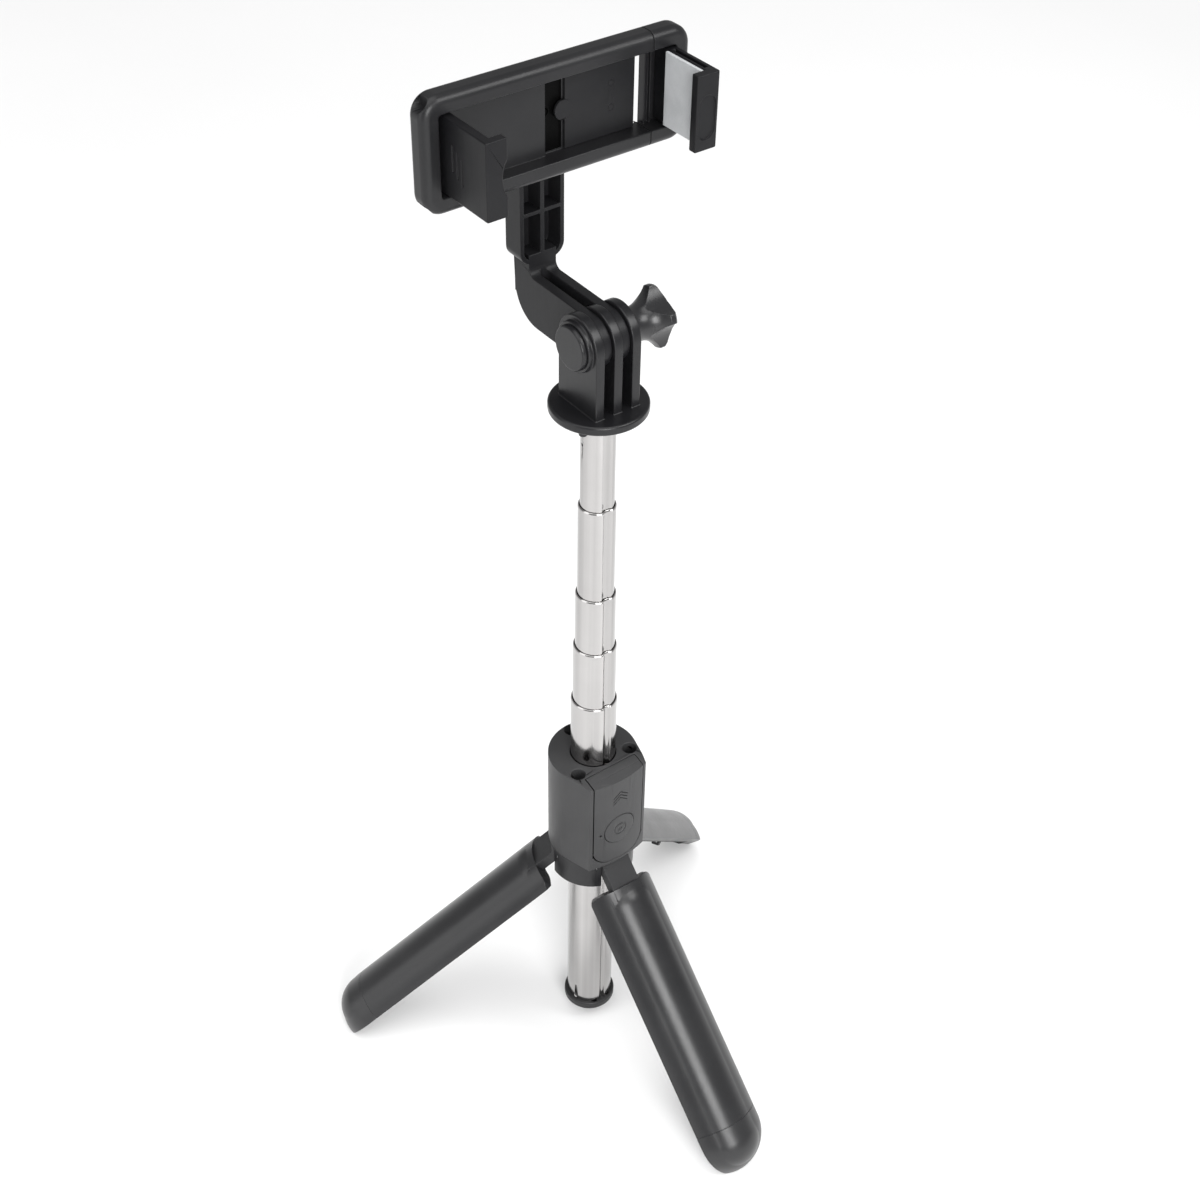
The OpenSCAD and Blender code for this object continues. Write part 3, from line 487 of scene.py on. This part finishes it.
def edge_weights(node, bm, width):
    """How much of the full rounding each sharp edge has room for. The width is in metres."""
    sharp = {}
    for e in bm.edges:
        if len(e.link_faces) == 2 and e.calc_face_angle(0) > SHARP:
            sharp[e] = min(1.0, *(ROOM_SHARE * reach_from(e, f) for f in e.link_faces))
    for v in bm.verts:
        here = [e for e in v.link_edges if e in sharp]
        if not here:
            continue
        if len(here) == 2:
            one, two = directions(v, here)
            if one.dot(two) < NEARLY_STRAIGHT:
                continue
        room = ROOM_SHARE * min(e.calc_length() for e in v.link_edges)
        for e in here:
            sharp[e] = min(sharp[e], room)
    weights = {e: min(1.0, r / width) for e, r in sharp.items()}
    for v in bm.verts:
        here = [e for e in v.link_edges if e in weights]
        ways = directions(v, here)
        if any(one.dot(two) > NARROW for i, one in enumerate(ways) for two in ways[:i]):
            for e in here:
                weights[e] = min(weights[e], NARROW_ROUNDING * MM / width)
    for e in weights:
        weights[e] = min(weights[e], max(limit(node, v.co) for v in e.verts) * MM / width)
    return weights


def joins(node, e):
    """Whether the two facets beside an edge may become one."""
    if node in KEEP_FACETS:
        return False
    if node == "arm":
        return min(limit(node, v.co) for v in e.verts) >= JOIN_ROOM
    return node not in LEVEL_HOLES or max(f.normal.z ** 2 for f in e.link_faces) <= LEVEL


def refined(node, width):
    """A copy of a CAD node with its moulded edges rounded. It stands for the node."""
    me = NODES[node].data.copy()
    bm = bmesh.new()
    bm.from_mesh(me)
    bmesh.ops.remove_doubles(bm, verts=bm.verts, dist=WELD)
    bmesh.ops.dissolve_degenerate(bm, edges=bm.edges, dist=TINY)
    flat_edges = [e for e in bm.edges if joins(node, e)]
    bmesh.ops.dissolve_limit(bm, angle_limit=FLAT, verts=bm.verts, edges=flat_edges)
    layer = bm.edges.layers.float.new("bevel_weight_edge")
    for e, w in edge_weights(node, bm, width * MM).items():
        if w * width < CREASE:
            e.smooth = False
        else:
            e[layer] = w
    for f in bm.faces:
        f.smooth = True
    bm.to_mesh(me)
    bm.free()
    ob = bpy.data.objects.new(node + "_fine", me)
    scene.collection.objects.link(ob)
    me.materials.clear()
    me.materials.append(MATERIAL_OF[node])
    mod = ob.modifiers.new("edges", "BEVEL")
    mod.width = width * MM
    mod.segments = 2
    mod.limit_method = "WEIGHT"
    mod.use_clamp_overlap = False
    mod.miter_outer = "MITER_SHARP"
    flat = ob.modifiers.new("shading", "WEIGHTED_NORMAL")
    flat.keep_sharp = True
    flat.weight = 60
    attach(ob, BODY_OF[node])
    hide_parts(node)


LEG_ROUNDING = {"_shell": 0.3, "_foot": 0.5, "_liner": 0.2}
ROUNDING = {
    "housing": 0.3, "hub": 0.2,
    "remote_front": 0.1, "remote_back": 0.2, "remote_button": 0.15, "end_cap": 0.3,
    **{leg + part: width for part, width in LEG_ROUNDING.items() for leg in LEGS},
    "head_base": 0.35, "nut_cover": 0.3, "knob": 0.15, "arm": 0.3,
    "holder_frame": 0.15, "slider": 0.15, "left_jaw": 0.4, "right_jaw": 0.4,
    "jaw_pad": 0.3, "holder_panel": 0.2,
    "base_stud": 0.3, "swivel_screw": 0.3, "swivel_washer": 0.15, "housing_screws": 0.2,
}
for name, width in ROUNDING.items():
    refined(name, width)


# ---- floor and light: metres and watts, the floor a little under the lowest point of the part ----
FLOOR_RADIUS, FLOOR_Z = 4.0, -0.0002
WORLD_STRENGTH = 0.36


def make_floor():
    place = (0, 0, FLOOR_Z)
    bpy.ops.mesh.primitive_circle_add(vertices=96, radius=FLOOR_RADIUS, fill_type="NGON", location=place)
    floor = bpy.context.object
    floor.name = "Floor"
    m = Mat("floor_paper", Metallic=0.0)
    cloud = m.noise(scale=3, detail=3)
    m.set("Base Color", m.mix(cloud, (0.86, 0.86, 0.86), (0.9, 0.9, 0.9)))
    m.set("Roughness", m.range(cloud, 0.3, 0.7, 0.85, 0.95))
    floor.data.materials.append(m.material)


def area(name, place, target, size, power):
    """A rectangular lamp at a place, turned to its target."""
    data = bpy.data.lights.new(name, "AREA")
    data.shape = "RECTANGLE"
    data.size, data.size_y = size
    data.energy = power
    ob = bpy.data.objects.new(name, data)
    scene.collection.objects.link(ob)
    ob.location = place
    ob.rotation_mode = "QUATERNION"
    ob.rotation_quaternion = (Vector(target) - Vector(place)).to_track_quat("-Z", "Y")


def sky(name, toward, width, strength):
    """One soft light, as wide as the angle in degrees, that covers the whole floor evenly."""
    data = bpy.data.lights.new(name, "SUN")
    data.angle = math.radians(width)
    data.energy = strength
    ob = bpy.data.objects.new(name, data)
    scene.collection.objects.link(ob)
    ob.location = toward
    ob.rotation_mode = "QUATERNION"
    ob.rotation_quaternion = Vector(toward).to_track_quat("Z", "Y")


def make_world():
    """White light from all round."""
    world = bpy.data.worlds.new("Studio")
    scene.world = world
    world.use_nodes = True
    back = world.node_tree.nodes["Background"]
    back.inputs["Color"].default_value = (1, 1, 1, 1)
    back.inputs["Strength"].default_value = WORLD_STRENGTH


make_floor()
make_world()
sky("Top", toward=(-0.25, -0.05, 1), width=62, strength=1.95)
area("Key", place=(-0.40, -1.00, 0.60), target=(0, -0.07, 0.04), size=(0.50, 0.60), power=11.5)
area("Rail", place=(0.26, -0.40, 0.74), target=(0, 0.02, 0.36), size=(0.34, 0.34), power=2.6)
area("Left", place=(-1.05, 0.15, 0.5), target=(0, 0, 0.2), size=(0.6, 0.9), power=3)
